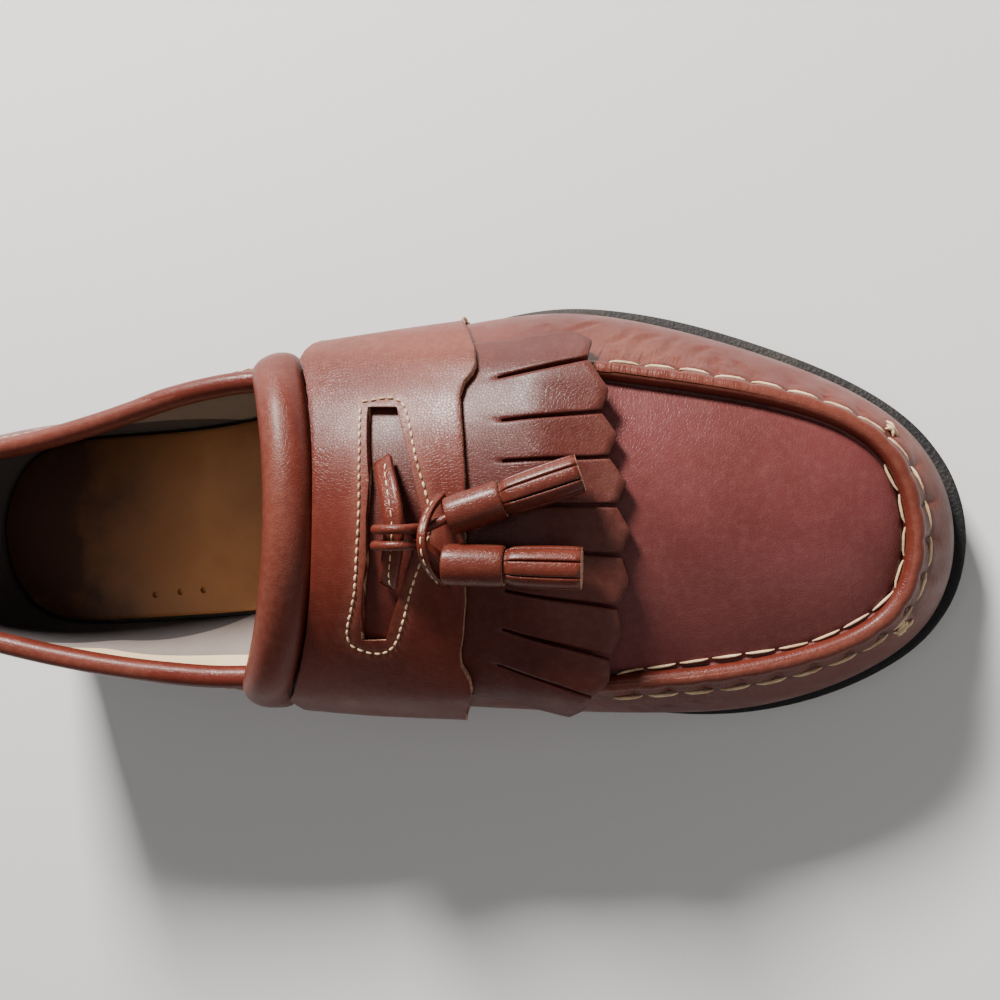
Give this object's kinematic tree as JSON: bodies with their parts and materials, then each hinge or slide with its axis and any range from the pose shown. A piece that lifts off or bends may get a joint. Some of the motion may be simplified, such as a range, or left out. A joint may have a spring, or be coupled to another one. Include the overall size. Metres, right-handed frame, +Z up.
{
  "type": "kiltie loafer",
  "caption": "Left kiltie loafer in mahogany leather with a fringed kiltie, two tassels and a black rubber sole.",
  "frame": {"origin": "middle of the shoe's box, on the floor under the sole", "axes": "+X to the toe, +Y to the outer side of the left foot, +Z up"},
  "size_m": [0.304, 0.115, 0.088],
  "materials": {
    "rubber": "matt fine-textured",
    "brown_leather": "polished smooth leather",
    "plum_leather": "polished smooth leather",
    "russet_leather": "satin leather",
    "tan_leather": "worn satin leather"
  },
  "bodies": {
    "root": {"outsole": "rubber", "heel": "rubber", "insole": "tan_leather", "upper": "brown_leather", "saddle": "brown_leather", "saddle_roll": "brown_leather", "kiltie": "plum_leather", "thong_keeper": "brown_leather", "thong_wrap_1": "russet_leather", "thong_wrap_2": "russet_leather", "thong_band": "russet_leather", "thong_cord_a": "russet_leather", "thong_cord_b": "russet_leather", "tassel_cap_a": "russet_leather", "tassel_cap_b": "russet_leather", "tassel_skirt_a": "russet_leather", "tassel_skirt_b": "russet_leather"}
  },
  "joints": []
}
